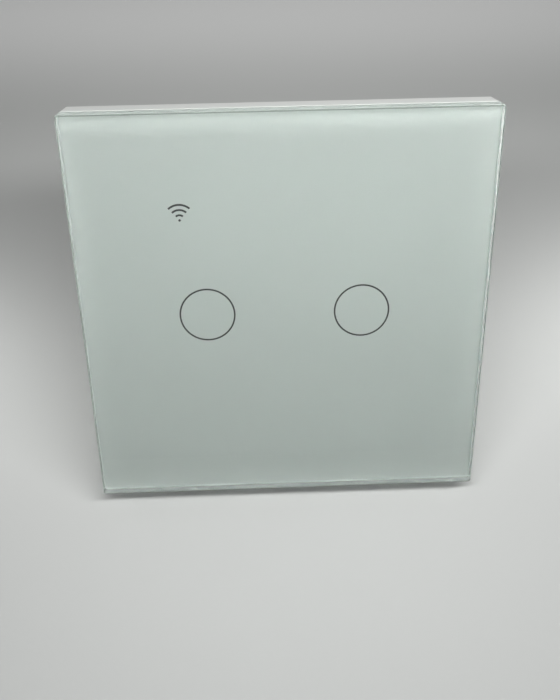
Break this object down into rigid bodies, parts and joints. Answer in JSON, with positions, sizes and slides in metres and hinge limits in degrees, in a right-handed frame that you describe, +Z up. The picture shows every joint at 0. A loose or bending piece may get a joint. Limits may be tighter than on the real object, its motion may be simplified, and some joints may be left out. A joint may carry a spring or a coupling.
{
  "type": "touch light switch",
  "caption": "Square glass touch light switch for a wall box: a glass panel with ring marks clips on a wall plate with a relay box and screw terminals behind.",
  "frame": {"origin": "middle between the two fixing slots, on the wall plane", "axes": "+X right as seen from the room, +Z up, +Y into the wall"},
  "size_m": [0.086, 0.0359, 0.086],
  "materials": {
    "clear_glass": "polished",
    "pale_print": "smooth print",
    "smoke_ink": "print",
    "bonding_tape": "foam",
    "white_plastic": "fine moulded",
    "box_plastic": "fine moulded",
    "zinc_steel": "bright zinc",
    "green_board": "solder mask",
    "blue_board": "solder mask",
    "gilt_spring": "drawn wire",
    "milky_plastic": "milky",
    "light_resin": "clear resin",
    "chip_resin": "moulded",
    "black_plastic": "moulded",
    "gilt_pins": "plated",
    "tin_plate": "tin plate",
    "ferrite": "sintered",
    "coil_tape": "film",
    "capacitor_sleeve": "shrunk sleeve",
    "film_case": "cast case",
    "disc_coat": "dipped",
    "resistor_coat": "lacquer",
    "terminal_plastic": "moulded",
    "copper": "rolled",
    "clamp_brass": "plated",
    "relay_plastic": "moulded",
    "relay_iron": "plated",
    "coil_wire": "lacquered wire",
    "contact_metal": "rolled"
  },
  "bodies": {
    "base": {"wall_plate": "white_plastic", "rear_box": "box_plastic", "box_screws": "zinc_steel", "touch_board": "green_board", "touch_spring_left": "gilt_spring", "touch_spring_right": "gilt_spring", "light_ring_left": "milky_plastic", "light_ring_right": "milky_plastic", "signal_light_pipe": "milky_plastic", "indicator_lights": "light_resin", "touch_chip": "chip_resin", "board_header": "black_plastic", "header_pins": "gilt_pins", "radio_board": "blue_board", "radio_shield": "tin_plate", "power_board": "green_board", "transformer_core": "ferrite", "transformer_coil": "coil_tape", "bulk_capacitor": "capacitor_sleeve", "output_capacitor": "capacitor_sleeve", "suppression_capacitor": "film_case", "surge_disc": "disc_coat", "fuse_resistor": "resistor_coat", "bridge_rectifier": "chip_resin", "supply_chip": "chip_resin", "terminal_housing": "terminal_plastic", "terminal_bars": "copper", "relay_base_left": "relay_plastic", "relay_case_left": "relay_plastic", "relay_yoke_left": "relay_iron", "relay_coil_left": "coil_wire", "relay_fixed_contact_left": "contact_metal", "relay_base_right": "relay_plastic", "relay_case_right": "relay_plastic", "relay_yoke_right": "relay_iron", "relay_coil_right": "coil_wire", "relay_fixed_contact_right": "contact_metal"},
    "panel": {"glass_panel": "clear_glass", "print_coat": "pale_print", "mark_ink": "smoke_ink", "bonding_tape": "bonding_tape", "panel_carrier": "white_plastic", "snap_hooks": "white_plastic"},
    "left_armature": {"relay_armature_left": "relay_iron", "relay_moving_contact_left": "contact_metal"},
    "right_armature": {"relay_armature_right": "relay_iron", "relay_moving_contact_right": "contact_metal"},
    "screw_1": {"terminal_screw_1": "zinc_steel"},
    "cage_1": {"terminal_cage_1": "clamp_brass"},
    "screw_2": {"terminal_screw_2": "zinc_steel"},
    "cage_2": {"terminal_cage_2": "clamp_brass"},
    "screw_3": {"terminal_screw_3": "zinc_steel"},
    "cage_3": {"terminal_cage_3": "clamp_brass"},
    "screw_4": {"terminal_screw_4": "zinc_steel"},
    "cage_4": {"terminal_cage_4": "clamp_brass"}
  },
  "joints": [
    {"name": "panel_pull", "type": "slide", "parent": "base", "child": "panel", "axis": [0, -1, 0], "range_m": [0, 0.03], "deforming": ["snap_hooks"]},
    {"name": "left_relay", "type": "hinge", "parent": "base", "child": "left_armature", "pos_m": [-0.0056, 0.01807, -0.0115], "axis": [1, 0, 0], "range_deg": [0, 3.4], "stiffness_Nm_per_rad": 0.02, "springref_deg": -5.73},
    {"name": "right_relay", "type": "hinge", "parent": "base", "child": "right_armature", "pos_m": [0.0056, 0.01807, -0.0115], "axis": [1, 0, 0], "range_deg": [0, 3.4], "stiffness_Nm_per_rad": 0.02, "springref_deg": -5.73},
    {"name": "screw_turn_1", "type": "hinge", "parent": "base", "child": "screw_1", "pos_m": [-0.0135, 0.02, -0.0214], "axis": [0, -1, 0], "range_deg": [0, 1800]},
    {"name": "cage_rise_1", "type": "slide", "parent": "base", "child": "cage_1", "axis": [0, 1, 0], "range_m": [0, 0.0025]},
    {"name": "screw_turn_2", "type": "hinge", "parent": "base", "child": "screw_2", "pos_m": [-0.0045, 0.02, -0.0214], "axis": [0, -1, 0], "range_deg": [0, 1800]},
    {"name": "cage_rise_2", "type": "slide", "parent": "base", "child": "cage_2", "axis": [0, 1, 0], "range_m": [0, 0.0025]},
    {"name": "screw_turn_3", "type": "hinge", "parent": "base", "child": "screw_3", "pos_m": [0.0045, 0.02, -0.0214], "axis": [0, -1, 0], "range_deg": [0, 1800]},
    {"name": "cage_rise_3", "type": "slide", "parent": "base", "child": "cage_3", "axis": [0, 1, 0], "range_m": [0, 0.0025]},
    {"name": "screw_turn_4", "type": "hinge", "parent": "base", "child": "screw_4", "pos_m": [0.0135, 0.02, -0.0214], "axis": [0, -1, 0], "range_deg": [0, 1800]},
    {"name": "cage_rise_4", "type": "slide", "parent": "base", "child": "cage_4", "axis": [0, 1, 0], "range_m": [0, 0.0025]}
  ],
  "couplings": [
    {"joint": "screw_turn_1", "follows": "cage_rise_1", "rad_per_m": 12566},
    {"joint": "screw_turn_2", "follows": "cage_rise_2", "rad_per_m": 12566},
    {"joint": "screw_turn_3", "follows": "cage_rise_3", "rad_per_m": 12566},
    {"joint": "screw_turn_4", "follows": "cage_rise_4", "rad_per_m": 12566}
  ]
}
